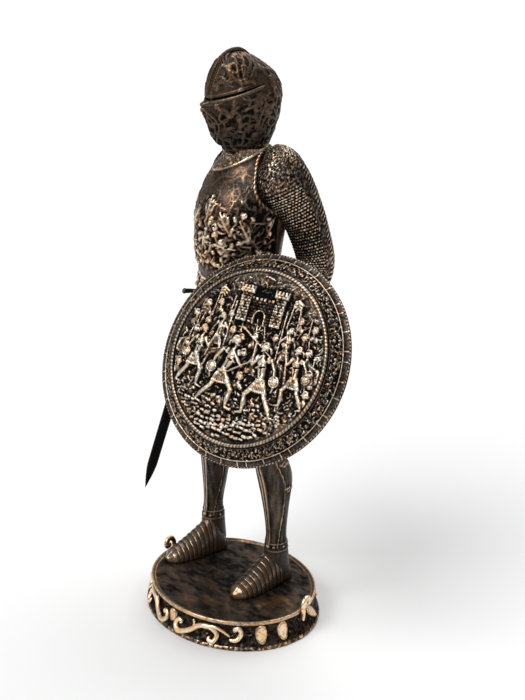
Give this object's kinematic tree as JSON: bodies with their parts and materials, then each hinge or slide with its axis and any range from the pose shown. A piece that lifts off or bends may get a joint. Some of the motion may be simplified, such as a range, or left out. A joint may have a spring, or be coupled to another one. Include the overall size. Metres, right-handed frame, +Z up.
{
  "type": "knight statuette",
  "caption": "Antique-bronze statuette of a standing knight in closed helmet and embossed armour, holding a round relief shield and a lowered sword, on an oval scrollwork plinth",
  "frame": {"origin": "Middle of the plinth's flat underside, on the surface that it stands on", "axes": "+X is the knight's left, -Y is in front of the knight, +Z is up"},
  "size_m": [0.1877, 0.1213, 0.3503],
  "materials": {
    "plinth_bronze": "antique bronze over cast resin, near black in the hollows, gold on the raised edges",
    "figure_bronze": "antique bronze over cast resin, near black in the hollows, pale gold on the worn high points",
    "shield_bronze": "antique bronze over cast resin, strong pale gold rubbed on the relief",
    "sword_dark": "dark plain metal paint, satin"
  },
  "bodies": {
    "root": {"plinth": "plinth_bronze", "figure": "figure_bronze", "shield": "shield_bronze", "sword": "sword_dark"}
  },
  "joints": []
}
